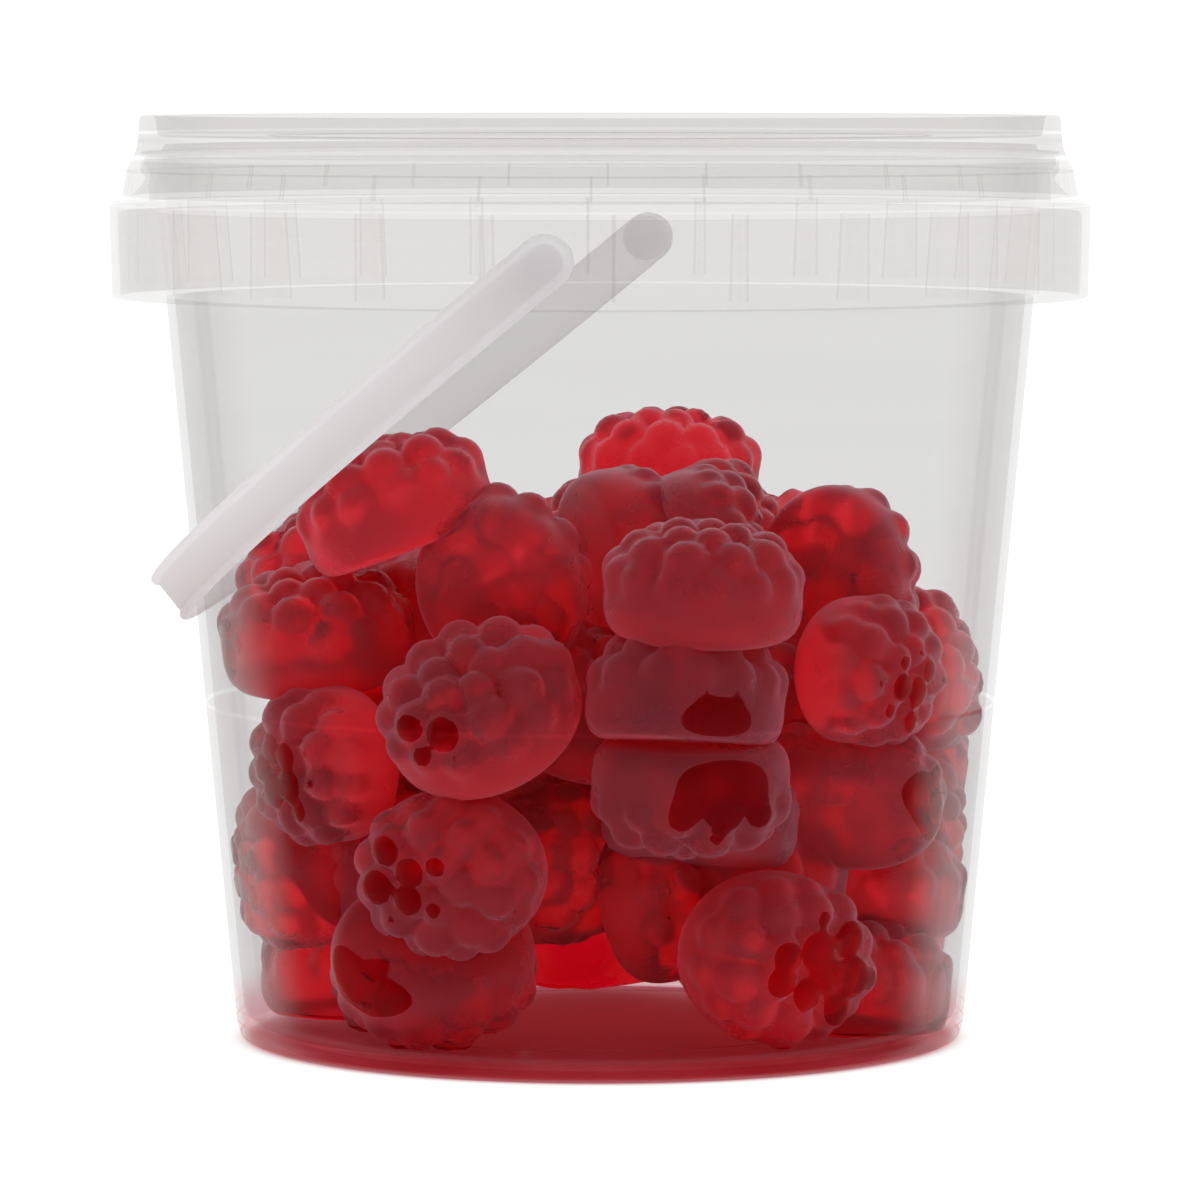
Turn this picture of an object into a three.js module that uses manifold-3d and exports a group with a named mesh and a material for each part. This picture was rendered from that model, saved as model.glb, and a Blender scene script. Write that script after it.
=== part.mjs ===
// A clear plastic tub with a snap-on lid and a swinging bail handle, part filled with
// berry-shaped gummy sweets. Millimetres, +Z up. The origin is the centre of the foot
// ring's resting face, and the handle turns about a line along Y through the collar.

import * as THREE from "three";
import { mergeVertices } from "three/addons/utils/BufferGeometryUtils.js";
import Module from "manifold-3d";

const wasm = await Module();
wasm.setup();

const DEGREE = Math.PI / 180;
const ROUND_SIDES = 56; // sides of the tub and the lid
const PIN_SIDES = 20; // sides of the handle's pins and eyes
const TOUCH_GAP = 0.3; // kept between pieces that touch

// Tub: one moulding of wall, floor, collar and the ribs behind the collar.
const SHEET = 1.0;
const FOOT_RADIUS = 44.0; // the outer wall's radius if it ran down to the resting face
const WALL_SLOPE = 0.0933; // outward run of the wall for each millimetre of height
const FOOT_RING_INNER = 40.2;
const FOOT_RING_OUTER = 42.7;
const FLOOR_LIFT = 0.9; // the floor's underside above the resting face
const FLOOR_TOP = FLOOR_LIFT + SHEET;
const COLLAR_BOTTOM = 90.0;
const COLLAR_TOP = 101.4;
const COLLAR_RADIUS = 59.2;
const COLLAR_DRAFT = 0.3; // the collar is this much narrower at its lower edge
const NECK_RADIUS = 54.3; // the neck that the lid grips, above the collar
const BEAD_RADIUS = 55.0;
const RIM_TOP = 107.1;
const RIB_COUNT = 24;
const RIB_THICKNESS = 0.8;
const RIB_BOTTOM = 91.0;

// Lid: recessed panel, stacking ring and flared skirt.
const PANEL_TOP = 109.3;
const RING_TOP = 111.8;
const RING_RADIUS = 55.5;
const SKIRT_BOTTOM = 102.1;
const SKIRT_RADIUS = 57.65;

// Bail handle: a U-shaped band, grooved outside, with an eye and a headed pin at each end.
const PIVOT_HEIGHT = (COLLAR_TOP + COLLAR_BOTTOM) / 2;
const BAIL_RADIUS = 60.7; // of the band's middle round its half circle
const BAIL_STRAIGHT = 6.1; // straight stretch between each pivot and the half circle
const BAIL_DROOP = 39.4; // degrees below the level at which the grip rests on the wall
const BAIL_STEPS = 32;
const BAND_WIDTH = 6.4;
const BAND_THICKNESS = 1.4;
const BAND_CHAMFER = 0.4;
const GROOVE_WIDTH = 4.6;
const GROOVE_DEPTH = 0.5;
const PIN_RADIUS = 2.0;
const PIN_HOLE_RADIUS = 2.3;
const PIN_HEAD_RADIUS = 2.9;
const PIN_HEAD_THICKNESS = 0.8;
const PIN_HEAD_BACK = 57.3; // the head's face behind the collar, from the tub's axis

// Sweets: a flat back, a lower band and a domed top, longer than they are broad.
const SWEET_LENGTH = 24.0;
const SWEET_BREADTH = 21.0;
const SWEET_HEIGHT = 13.6;
const SWEET_SIDES = 10;
// Share of the plan radius, and share of the half height.
const SWEET_OUTLINE = [
  [0, -1],
  [0.82, -1],
  [0.955, -0.66],
  [0.98, 0.1],
  [0.765, 0.75],
  [0, 0.955],
];
const HEAP_TURN = 5.9; // degrees from the front of the heap to the handle's pivot line
const CORE_RADIUS = 27.0;
const CORE_BOTTOM = 12.0;
const CORE_TOP = 54.0;
const CORE_SIDES = 14;

// The sweets that show, each by its middle and by the way its dome faces. Both are
// across, away and up as seen from the heap's front. spin turns the long side.
const SHOWN_SWEETS = [
  { name: "rear top", at: [8.6, 27, 68.7], dome: [0.03, -0.05, 1], size: 0.97 },
  { name: "rear right", at: [15.8, 8, 60], dome: [0.9, 0.1, 0.35], spin: 90 },
  { name: "rear left", at: [-2.3, 13, 57.3], dome: [-0.92, 0.1, 0.35], spin: 90 },
  { name: "on edge left", at: [4.2, -9.5, 60.3], dome: [0.9, 0.4, 0.1], spin: 90, size: 0.95 },
  { name: "on edge right", at: [13.6, -12.5, 61], dome: [0.95, 0.2, 0.2], spin: 90, size: 0.9 },
  { name: "centre top", at: [12.1, -35, 58.2], dome: [0.03, -0.15, 1] },
  { name: "right top", at: [29.2, -12, 56.4], dome: [0.6, 0.78, -0.1], size: 0.97 },
  { name: "left top", at: [-25, -18, 67], dome: [-0.36, 0, 0.93] },
  { name: "left middle", at: [-10.8, -18.5, 57], dome: [0.35, 0.85, 0.35], spin: 90 },
  { name: "left side", at: [-34, -12.8, 51.2], dome: [-0.1, -0.25, 0.95] },
  { name: "behind handle", at: [-33, 7, 57], dome: [-0.2, 0, 0.95] },
  { name: "centre left", at: [-14.5, -34.8, 44], dome: [-0.3, -0.7, 0.65], size: 1.02 },
  { name: "centre", at: [10, -34.8, 45.8], dome: [0.05, 0.15, 1] },
  { name: "centre low", at: [10.6, -34.4, 32.4], dome: [0, 0.1, -1] },
  { name: "between", at: [-2, -15, 43], dome: [0.3, -0.5, 0.8] },
  { name: "right shoulder", at: [20.5, -13, 45.5], dome: [0.2, -0.6, 0.75] },
  { name: "right wall front", at: [32.8, -24.9, 46.5], dome: [0.79, -0.6, 0.05], spin: 90, size: 0.88 },
  { name: "right wall", at: [39.5, 3, 44.5], dome: [0.95, -0.1, 0.25], spin: 90 },
  { name: "right flat", at: [28.8, -17.9, 32.8], dome: [0.12, 0.66, 0.74] },
  { name: "right low", at: [21.4, -31.2, 12.8], dome: [0.42, -0.9, -0.1], spin: -10 },
  { name: "left low", at: [-17.9, -34, 23.2], dome: [-0.3, -0.94, -0.15], size: 0.96 },
  { name: "left floor", at: [-19.7, -25.9, 10.9], dome: [0, 0.67, -0.74], size: 1.04 },
  { name: "left wall", at: [-33.9, -21.8, 35], dome: [-0.83, -0.56, -0.05], spin: 90, size: 0.92 },
  { name: "left wall low", at: [-38.2, -9, 22.3], dome: [-0.97, -0.22, 0], size: 0.92 },
  { name: "left corner", at: [-30, 5, 8.9], dome: [0, -0.1, 1] },
  { name: "left back", at: [-28, -3, 39.5], dome: [0.2, -0.5, 0.8] },
  { name: "middle dark", at: [-4, -13, 22.8], dome: [0.95, -0.2, 0], spin: 90 },
  { name: "middle dark right", at: [9.6, -15, 18.9], dome: [0.9, -0.35, 0.2], spin: 90 },
  { name: "right corner", at: [31, -11, 9.2], dome: [0.1, -0.1, 1] },
  { name: "right wall low", at: [32.9, -3, 20.2], dome: [0.1, -0.1, 1] },
  { name: "right wall middle", at: [38.8, 5, 26.5], dome: [0.95, 0.1, 0.1], spin: 90, size: 0.85 },
];

// The rear of the heap is filled by a rule: rings of sweets against the wall.
const REAR_SEED = 20417;
const REAR_LAYERS = 5;
const REAR_BOTTOM = 8.8;
const REAR_LAYER_RISE = 12.2;
const REAR_WALL_CLEARANCE = 11.0; // from a sweet's middle to the wall
const REAR_FIRST_ANGLE = 14; // degrees from straight across, round the back
const REAR_LAST_ANGLE = 160;
const REAR_SPACING = 38;
const REAR_TILT = 0.45; // how far a dome may lean, as a share of upright

const clearPlastic = { color: 0xdfe0df, roughness: 0.3, metalness: 0 };
const whitePlastic = { color: 0xe2e1e4, roughness: 0.4, metalness: 0 };
const redGummy = { color: 0x9b2832, roughness: 0.35, metalness: 0 };

const outerWall = (height) => FOOT_RADIUS + WALL_SLOPE * height;
const innerWall = (height) => outerWall(height) - SHEET;

// A closed geometry as a solid, with its faces turned outwards.
function solidOf(geometry) {
  const bare = geometry.index ? geometry.toNonIndexed() : geometry.clone();
  bare.deleteAttribute("normal");
  bare.deleteAttribute("uv");
  const merged = mergeVertices(bare, 1e-4);
  const build = (triVerts) =>
    new wasm.Manifold(
      new wasm.Mesh({
        numProp: 3,
        vertProperties: new Float32Array(merged.attributes.position.array),
        triVerts,
      }),
    );
  const triangles = new Uint32Array(merged.index.array);
  const made = build(triangles);
  if (made.volume() > 0) return made;
  for (let i = 0; i < triangles.length; i += 3) {
    [triangles[i + 1], triangles[i + 2]] = [triangles[i + 2], triangles[i + 1]];
  }
  return build(triangles);
}

// A solid as a geometry that a mesh can hold.
function geometryOf(solid) {
  const mesh = solid.getMesh();
  const positions = new Float32Array(mesh.numVert * 3);
  for (let i = 0; i < mesh.numVert; i += 1) {
    const start = i * mesh.numProp;
    positions.set(mesh.vertProperties.subarray(start, start + 3), i * 3);
  }
  const geometry = new THREE.BufferGeometry();
  geometry.setAttribute("position", new THREE.BufferAttribute(positions, 3));
  geometry.setIndex(new THREE.BufferAttribute(new Uint32Array(mesh.triVerts), 1));
  geometry.computeVertexNormals();
  return geometry;
}

function namedMesh(name, geometry, look) {
  const mesh = new THREE.Mesh(geometry, new THREE.MeshStandardMaterial(look));
  mesh.name = name;
  return mesh;
}

// Turns a profile of [radius, height] pairs about the Z axis.
function turned(profile, sides) {
  const points = profile.map(([radius, height]) => new THREE.Vector2(radius, height));
  return new THREE.LatheGeometry(points, sides).rotateX(90 * DEGREE);
}

// A cylinder along Y between two distances from the middle.
function rodAlongY(radius, from, to, sides) {
  const rod = new THREE.CylinderGeometry(radius, radius, Math.abs(to - from), sides);
  return rod.translate(0, (from + to) / 2, 0);
}

function tubProfile() {
  const webUnder = COLLAR_TOP - SHEET - 0.1;
  const collarFoot = COLLAR_RADIUS - COLLAR_DRAFT;
  return [
    [0, FLOOR_LIFT],
    [FOOT_RING_INNER - 0.8, FLOOR_LIFT],
    [FOOT_RING_INNER, 0],
    [FOOT_RING_OUTER, 0],
    [FOOT_RING_OUTER + 1.0, 0.5],
    [outerWall(1.6), 1.6],
    [outerWall(webUnder), webUnder],
    [COLLAR_RADIUS - SHEET, webUnder],
    [collarFoot - SHEET, COLLAR_BOTTOM],
    [collarFoot, COLLAR_BOTTOM],
    [COLLAR_RADIUS, COLLAR_TOP - 0.4],
    [COLLAR_RADIUS - 0.4, COLLAR_TOP],
    [NECK_RADIUS + 0.1, COLLAR_TOP],
    [NECK_RADIUS, RIM_TOP - 1.9],
    [BEAD_RADIUS, RIM_TOP - 1.3],
    [BEAD_RADIUS, RIM_TOP - 0.5],
    [BEAD_RADIUS - 0.5, RIM_TOP],
    [innerWall(RIM_TOP) + 0.3, RIM_TOP],
    [innerWall(RIM_TOP - 0.6), RIM_TOP - 0.6],
    [innerWall(4), 4],
    [innerWall(0) - 0.7, FLOOR_TOP + 0.4],
    [innerWall(0) - 2.0, FLOOR_TOP],
    [0, FLOOR_TOP],
  ];
}

// One upright rib between the wall and the collar.
function collarRib(angle) {
  const top = COLLAR_TOP - SHEET / 2;
  const collarSide = COLLAR_RADIUS - COLLAR_DRAFT - SHEET / 2;
  const outline = new THREE.Shape([
    new THREE.Vector2(outerWall(RIB_BOTTOM) - SHEET / 2, RIB_BOTTOM),
    new THREE.Vector2(collarSide, RIB_BOTTOM),
    new THREE.Vector2(collarSide, top),
    new THREE.Vector2(outerWall(top) - SHEET / 2, top),
  ]);
  const plate = new THREE.ExtrudeGeometry(outline, {
    depth: RIB_THICKNESS,
    bevelEnabled: false,
  });
  return plate.rotateX(90 * DEGREE).translate(0, RIB_THICKNESS / 2, 0).rotateZ(angle);
}

function makeTub() {
  let tub = solidOf(turned(tubProfile(), ROUND_SIDES));
  for (let i = 0; i < RIB_COUNT; i += 1) {
    tub = tub.add(solidOf(collarRib(((i + 0.5) * 360 * DEGREE) / RIB_COUNT)));
  }
  for (const side of [-1, 1]) {
    const hole = rodAlongY(
      PIN_HOLE_RADIUS,
      side * (COLLAR_RADIUS - 2 * SHEET),
      side * (COLLAR_RADIUS + SHEET),
      PIN_SIDES,
    );
    tub = tub.subtract(solidOf(hole.translate(0, 0, PIVOT_HEIGHT)));
  }
  return namedMesh("tub", geometryOf(tub), clearPlastic);
}

function lidProfile() {
  const panelUnder = PANEL_TOP - SHEET;
  const padUnder = RIM_TOP + TOUCH_GAP + 0.1;
  const skirtInside = BEAD_RADIUS + TOUCH_GAP + 0.1;
  const catchRadius = NECK_RADIUS + TOUCH_GAP + 0.15;
  return [
    [0, panelUnder],
    [innerWall(RIM_TOP) - 0.4, panelUnder],
    [innerWall(RIM_TOP), padUnder],
    [skirtInside, padUnder],
    [skirtInside, SKIRT_BOTTOM + 3.0],
    [catchRadius, SKIRT_BOTTOM + 2.4],
    [catchRadius, SKIRT_BOTTOM + 1.9],
    [skirtInside, SKIRT_BOTTOM + 1.2],
    [SKIRT_RADIUS - SHEET, SKIRT_BOTTOM],
    [SKIRT_RADIUS - 0.05, SKIRT_BOTTOM],
    [SKIRT_RADIUS, SKIRT_BOTTOM + 0.4],
    [RING_RADIUS + 1.5, SKIRT_BOTTOM + 3.5],
    [RING_RADIUS + 0.7, SKIRT_BOTTOM + 4.9],
    [RING_RADIUS + 0.4, SKIRT_BOTTOM + 5.7],
    [RING_RADIUS, RING_TOP - 0.6],
    [RING_RADIUS - 0.5, RING_TOP],
    [RING_RADIUS - 1.3, RING_TOP],
    [RING_RADIUS - 1.9, RING_TOP - 0.6],
    [RING_RADIUS - 2.2, PANEL_TOP],
    [0, PANEL_TOP],
  ];
}

function makeLid() {
  return namedMesh("lid", turned(lidProfile(), ROUND_SIDES), clearPlastic);
}

// The bail's line in its own plane: X away from the hinge line, Y along it.
class BailLine extends THREE.Curve {
  getPoint(share) {
    const arc = Math.PI * BAIL_RADIUS;
    const whole = arc + 2 * BAIL_STRAIGHT;
    const along = share * whole;
    if (along < BAIL_STRAIGHT) return new THREE.Vector3(along, -BAIL_RADIUS, 0);
    if (along > BAIL_STRAIGHT + arc) {
      return new THREE.Vector3(whole - along, BAIL_RADIUS, 0);
    }
    const angle = (along - BAIL_STRAIGHT) / BAIL_RADIUS;
    return new THREE.Vector3(
      BAIL_STRAIGHT + BAIL_RADIUS * Math.sin(angle),
      -BAIL_RADIUS * Math.cos(angle),
      0,
    );
  }
}

// Sweeps a section of [across, inwards] pairs along the bail's line.
function alongBail(section) {
  const outline = new THREE.Shape(section.map(([x, y]) => new THREE.Vector2(x, y)));
  return new THREE.ExtrudeGeometry(outline, {
    steps: BAIL_STEPS,
    extrudePath: new BailLine(),
  });
}

function bandSection() {
  const side = BAND_WIDTH / 2;
  const face = BAND_THICKNESS / 2;
  return [
    [-side + BAND_CHAMFER, -face],
    [side - BAND_CHAMFER, -face],
    [side, -face + BAND_CHAMFER],
    [side, face - BAND_CHAMFER],
    [side - BAND_CHAMFER, face],
    [-side + BAND_CHAMFER, face],
    [-side, face - BAND_CHAMFER],
    [-side, -face + BAND_CHAMFER],
  ];
}

function grooveSection() {
  const mouth = -BAND_THICKNESS / 2 - 0.2;
  const bed = -BAND_THICKNESS / 2 + GROOVE_DEPTH;
  return [
    [-GROOVE_WIDTH / 2, mouth],
    [GROOVE_WIDTH / 2, mouth],
    [GROOVE_WIDTH / 2 - 0.3, bed],
    [-GROOVE_WIDTH / 2 + 0.3, bed],
  ];
}

function makeHandle() {
  const inside = BAIL_RADIUS - BAND_THICKNESS / 2;
  const outside = BAIL_RADIUS + BAND_THICKNESS / 2;
  const headFront = PIN_HEAD_BACK - PIN_HEAD_THICKNESS;
  let bail = solidOf(alongBail(bandSection()));
  let groove = solidOf(alongBail(grooveSection()));
  for (const side of [-1, 1]) {
    const rod = (radius, from, to) =>
      solidOf(rodAlongY(radius, side * from, side * to, PIN_SIDES));
    bail = bail.add(rod(BAND_WIDTH / 2, inside, outside));
    bail = bail.add(rod(PIN_RADIUS, headFront + 0.2, inside + 0.3));
    bail = bail.add(rod(PIN_HEAD_RADIUS, headFront, PIN_HEAD_BACK));
    groove = groove.add(rod(GROOVE_WIDTH / 2, outside - GROOVE_DEPTH, outside + 0.2));
  }
  const handle = namedMesh("handle", geometryOf(bail.subtract(groove)), whitePlastic);
  const hinge = new THREE.Group();
  hinge.position.z = PIVOT_HEIGHT;
  hinge.rotation.y = (180 - BAIL_DROOP) * DEGREE;
  hinge.add(handle);
  return hinge;
}

// One sweet at the origin, its dome along +Z and its long side along X. Its corners
// stand a little outside the rounded outline, so that it has the same plan area.
function sweetBlank() {
  const corner = (2 * Math.PI) / SWEET_SIDES;
  const spread = Math.sqrt(corner / Math.sin(corner));
  const profile = SWEET_OUTLINE.map(([out, up]) => [out, (up * SWEET_HEIGHT) / 2]);
  const blank = turned(profile, SWEET_SIDES);
  return blank.scale((spread * SWEET_LENGTH) / 2, (spread * SWEET_BREADTH) / 2, 1);
}

// Where a sweet goes, from the heap's front to the tub's own axes.
function sweetPlace({ at, dome, spin = 0, size = 1 }) {
  const facing = new THREE.Vector3(...dome).normalize();
  const steep = Math.abs(facing.y) > 0.8;
  const guide = steep ? new THREE.Vector3(0, 0, 1) : new THREE.Vector3(0, 1, 0);
  const long = guide.cross(facing).normalize().applyAxisAngle(facing, spin * DEGREE);
  const short = new THREE.Vector3().crossVectors(facing, long);
  const place = new THREE.Matrix4().makeBasis(long, short, facing);
  place.scale(new THREE.Vector3(size, size, size));
  place.setPosition(...at);
  return new THREE.Matrix4().makeRotationZ(HEAP_TURN * DEGREE).multiply(place);
}

// The same row of numbers from 0 to 1 on every run.
function seededRow(seed) {
  let state = seed;
  return () => {
    state = (state * 16807) % 2147483647;
    return state / 2147483647;
  };
}

function rearSweets() {
  const draw = seededRow(REAR_SEED);
  const found = [];
  for (let layer = 0; layer < REAR_LAYERS; layer += 1) {
    const height = REAR_BOTTOM + layer * REAR_LAYER_RISE;
    // The top layer starts one sweet further round, clear of the right side.
    const skipped = layer === REAR_LAYERS - 1 ? REAR_SPACING : 0;
    const shift = (layer % 2) * (REAR_SPACING / 2) + skipped;
    for (
      let turn = REAR_FIRST_ANGLE + shift;
      turn <= REAR_LAST_ANGLE;
      turn += REAR_SPACING
    ) {
      const radius = innerWall(height) - REAR_WALL_CLEARANCE;
      const lean = [0, 1].map(() => REAR_TILT * (2 * draw() - 1));
      const up = draw() < 0.3 ? -1 : 1;
      found.push({
        at: [
          radius * Math.cos(turn * DEGREE),
          radius * Math.sin(turn * DEGREE),
          height,
        ],
        dome: [lean[0], lean[1], layer === 0 ? 2 * up : up],
        spin: 360 * draw(),
      });
    }
  }
  return found;
}

// The room inside the tub, a touching gap clear of the wall and the floor.
function roomForSweets() {
  const floor = FLOOR_TOP + TOUCH_GAP;
  return solidOf(
    turned(
      [
        [0, floor],
        [innerWall(0) - 2.0, floor],
        [innerWall(4) - TOUCH_GAP, 4.4],
        [innerWall(COLLAR_TOP) - TOUCH_GAP, COLLAR_TOP],
        [0, COLLAR_TOP],
      ],
      ROUND_SIDES,
    ),
  );
}

function heapCore() {
  const waist = CORE_RADIUS * 0.8;
  const middle = (CORE_BOTTOM + CORE_TOP) / 2;
  const core = turned(
    [
      [0, CORE_BOTTOM],
      [waist, CORE_BOTTOM],
      [CORE_RADIUS, middle],
      [waist, CORE_TOP],
      [0, CORE_TOP],
    ],
    CORE_SIDES,
  );
  return solidOf(core.translate(0, 4, 0));
}

function makeHeap() {
  let heap = heapCore();
  for (const sweet of [...SHOWN_SWEETS, ...rearSweets()]) {
    heap = heap.add(solidOf(sweetBlank().applyMatrix4(sweetPlace(sweet))));
  }
  // The largest shell alone: hollows that the joining sealed are filled.
  const shells = heap.intersect(roomForSweets()).decompose();
  const outer = shells.reduce((a, b) => (a.volume() > b.volume() ? a : b));
  return namedMesh("gummy_heap", geometryOf(outer), redGummy);
}

const pack = new THREE.Group();
pack.add(makeTub(), makeLid(), makeHandle(), makeHeap());

export default pack;
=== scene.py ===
# A clear plastic tub with a push-on lid and a swinging white handle, part filled with
# red berry-shaped gummy sweets. Lengths are in millimetres up to the point where a
# mesh is made, and +Z is up the tub's axis.

import math

import bpy
import numpy as np
from mathutils import Matrix, Vector


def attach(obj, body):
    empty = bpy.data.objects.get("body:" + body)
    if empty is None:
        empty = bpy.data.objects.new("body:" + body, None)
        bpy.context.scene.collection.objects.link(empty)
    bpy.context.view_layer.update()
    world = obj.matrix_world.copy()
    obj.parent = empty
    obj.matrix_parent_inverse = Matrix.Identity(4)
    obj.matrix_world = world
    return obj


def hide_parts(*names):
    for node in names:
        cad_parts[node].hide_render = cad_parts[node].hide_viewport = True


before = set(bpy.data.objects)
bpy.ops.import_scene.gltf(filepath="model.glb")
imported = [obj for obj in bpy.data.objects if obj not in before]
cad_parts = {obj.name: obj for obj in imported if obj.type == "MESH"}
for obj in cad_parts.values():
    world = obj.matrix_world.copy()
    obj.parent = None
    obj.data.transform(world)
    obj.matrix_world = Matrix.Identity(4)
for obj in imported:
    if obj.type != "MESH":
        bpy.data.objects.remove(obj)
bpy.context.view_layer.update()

MM = 0.001
TAU = 2 * math.pi

# The camera, in millimetres and degrees: the photograph's frame is 1200 pixels square.
HEAP_TURN = 5.9  # from the heap's front to the handle's pivot line
CAMERA_DISTANCE = 859.5
CAMERA_HEIGHT = 117.3
CAMERA_PITCH = 4.273
FOCAL_PIXELS = 7098
FRAME_PIXELS = 1200
SENSOR = 36.0

# Meshes
ROUND_STEPS = 256
CORNER_STEPS = 4
CORNER_ROOM = 0.48  # the most that an arc takes of the lengths it joins

# Tub
SHEET = 1.0
FOOT_RADIUS = 44.0
WALL_SLOPE = 0.0933
FLOOR_LIFT = 0.9
FLOOR_TOP = FLOOR_LIFT + SHEET
FLOOR_LINE = 29.6
FOOT_RING_INNER = 40.2
FOOT_RING_OUTER = 42.7
MOULD_LINE = 40.9
MOULD_LINE_HALF = 0.25
MOULD_LINE_RISE = 0.1
COLLAR_BOTTOM = 90.0
COLLAR_TOP = 101.4
COLLAR_RADIUS = 59.2
COLLAR_TAPER = 0.3
NECK_RADIUS = 54.3
BEAD_RADIUS = 55.0
RIM_TOP = 107.1
RIB_COUNT = 24
RIB_THICKNESS = 0.35
RIB_BOTTOM = 91.0

# Lid
PANEL_TOP = 109.3
RING_TOP = 111.8
RING_RADIUS = 55.5
SKIRT_BOTTOM = 102.1
SKIRT_RADIUS = 57.65
PANEL_LINE = 40.0
SEAM_COUNT = 28
SEAM_THICKNESS = 0.3
SEAM_FIRST_ANGLE = -91  # from the heap's front

# Fine lines round the outside: from and to height, and whether they are pale. The pale
# ones are painted glints on rounded edges; the others are moulded lines, and at the tub's
# foot they pass red with painted light from the sweets.
LID_LINES = [
    (105.0, 105.25, False),
    (106.4, 107.0, True),
    (108.5, 109.0, False),
    (109.6, 109.9, True),
]
TUB_LINES = [
    (0.3, 0.8, False),
    (2.4, 2.6, False),
    (4.0, 4.12, False),
    (101.0, 101.3, True),
]

# Handle
PIVOT_HEIGHT = (COLLAR_TOP + COLLAR_BOTTOM) / 2
BAIL_RADIUS = 60.7
BAIL_STRAIGHT = 6.1
BAIL_DROOP = 39.4
BAIL_STEPS = 150
BAND_END_STEPS = 16
BAND_SLIT = 0.04  # left open by the innermost ring until it is closed by faces
PIN_STEPS = 48
BAND_WIDTH = 6.4
BAND_THICKNESS = 1.4
PIN_RADIUS = 2.0
PIN_HEAD_RADIUS = 2.9
PIN_HEAD_THICKNESS = 0.8
PIN_HEAD_BACK = 57.3

# Sweets
SWEET_LENGTH = 24.0
SWEET_BREADTH = 21.0
SWEET_HEIGHT = 13.6
WALL_FILM = 0.12  # left between a pressed sweet and the wall
FLOOR_FILM = 0.3  # left between a sweet and the floor

# The sweets that show, each by its middle and by the way its dome faces. Both are
# across, away and up as seen from the heap's front. spin turns the long side, in
# degrees, and size scales the whole sweet.
SHOWN_SWEETS = [
    dict(at=(8.6, 27, 68.7), dome=(0.03, -0.05, 1), size=0.97),  # rear top
    dict(at=(15.8, 8, 60), dome=(0.9, 0.1, 0.35), spin=90),  # rear right
    dict(at=(-2.3, 13, 57.3), dome=(-0.92, 0.1, 0.35), spin=90),  # rear left
    dict(at=(4.2, -9.5, 60.3), dome=(0.9, 0.4, 0.1), spin=90, size=0.95),  # on edge left
    dict(at=(13.6, -12.5, 61), dome=(0.95, 0.2, 0.2), spin=90, size=0.9),  # on edge right
    dict(at=(12.1, -35, 58.2), dome=(0.03, -0.15, 1)),  # centre top
    dict(at=(29.2, -12, 56.4), dome=(0.6, 0.78, -0.1), size=0.97),  # right top
    dict(at=(-25, -18, 67), dome=(-0.36, 0, 0.93)),  # left top
    dict(at=(-10.8, -18.5, 57), dome=(0.35, 0.85, 0.35), spin=90),  # left middle
    dict(at=(-34, -12.8, 51.2), dome=(-0.1, -0.25, 0.95)),  # left side
    dict(at=(-33, 7, 57), dome=(-0.2, 0, 0.95)),  # behind handle
    dict(at=(-14.5, -34.8, 44), dome=(-0.3, -0.7, 0.65), size=1.02),  # centre left
    dict(at=(10, -34.8, 45.8), dome=(0.05, 0.15, 1)),  # centre
    dict(at=(10.6, -34.4, 32.4), dome=(0, 0.1, -1)),  # centre low
    dict(at=(-2, -15, 43), dome=(0.3, -0.5, 0.8)),  # between
    dict(at=(20.5, -13, 45.5), dome=(0.2, -0.6, 0.75)),  # right shoulder
    dict(at=(32.8, -24.9, 46.5), dome=(0.79, -0.6, 0.05), spin=90, size=0.88),  # right front
    dict(at=(39.5, 3, 44.5), dome=(0.95, -0.1, 0.25), spin=90),  # right wall
    dict(at=(29.5, -18.4, 32.8), dome=(0.12, 0.66, 0.74)),  # right flat
    dict(at=(21.4, -31.2, 12.8), dome=(0.42, -0.9, -0.1), spin=-10),  # right low
    dict(at=(-17.9, -34, 23.2), dome=(-0.3, -0.94, -0.15), size=0.96),  # left low
    dict(at=(-19.7, -25.9, 10.9), dome=(0, 0.67, -0.74), size=1.04),  # left floor
    dict(at=(-33.9, -21.8, 35), dome=(-0.83, -0.56, -0.05), spin=90, size=0.92),  # left wall
    dict(at=(-38.2, -9, 22.3), dome=(-0.97, -0.22, 0), size=0.92),  # left wall low
    dict(at=(-30, 5, 8.9), dome=(0, -0.1, 1)),  # left corner
    dict(at=(-28, -3, 39.5), dome=(0.2, -0.5, 0.8)),  # left back
    dict(at=(-4, -13, 22.8), dome=(0.95, -0.2, 0), spin=90),  # middle dark
    dict(at=(9.6, -15, 18.9), dome=(0.9, -0.35, 0.2), spin=90),  # middle dark right
    dict(at=(31, -11, 9.2), dome=(0.1, -0.1, 1)),  # right corner
    dict(at=(32.9, -3, 20.2), dome=(0.1, -0.1, 1)),  # right wall low
    dict(at=(38.8, 5, 26.5), dome=(0.95, 0.1, 0.1), spin=90, size=0.85),  # right wall middle
]

# The rear of the heap is filled by a rule: rings of sweets against the wall. Angles are
# in degrees from the heap's right.
REAR_SEED = 20417
REAR_LAYERS = 5
REAR_BOTTOM = 8.8
REAR_LAYER_RISE = 12.2
REAR_WALL_CLEARANCE = 11.0
REAR_FIRST_ANGLE = 14
REAR_LAST_ANGLE = 160
REAR_SPACING = 38
REAR_TILT = 0.45
REAR_UPSIDE_DOWN = 0.3  # the share of them that lie dome down

# Sweets that close the gaps between the shown ones.
GAP_SWEETS = [
    dict(at=(19.5, -14.5, 25), dome=(0.5, -0.6, 0.6)),
    dict(at=(-26, -9, 24), dome=(0.3, -0.6, 0.6)),
    dict(at=(12, -24.5, 31), dome=(0.1, 0.3, 1)),
]

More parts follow.
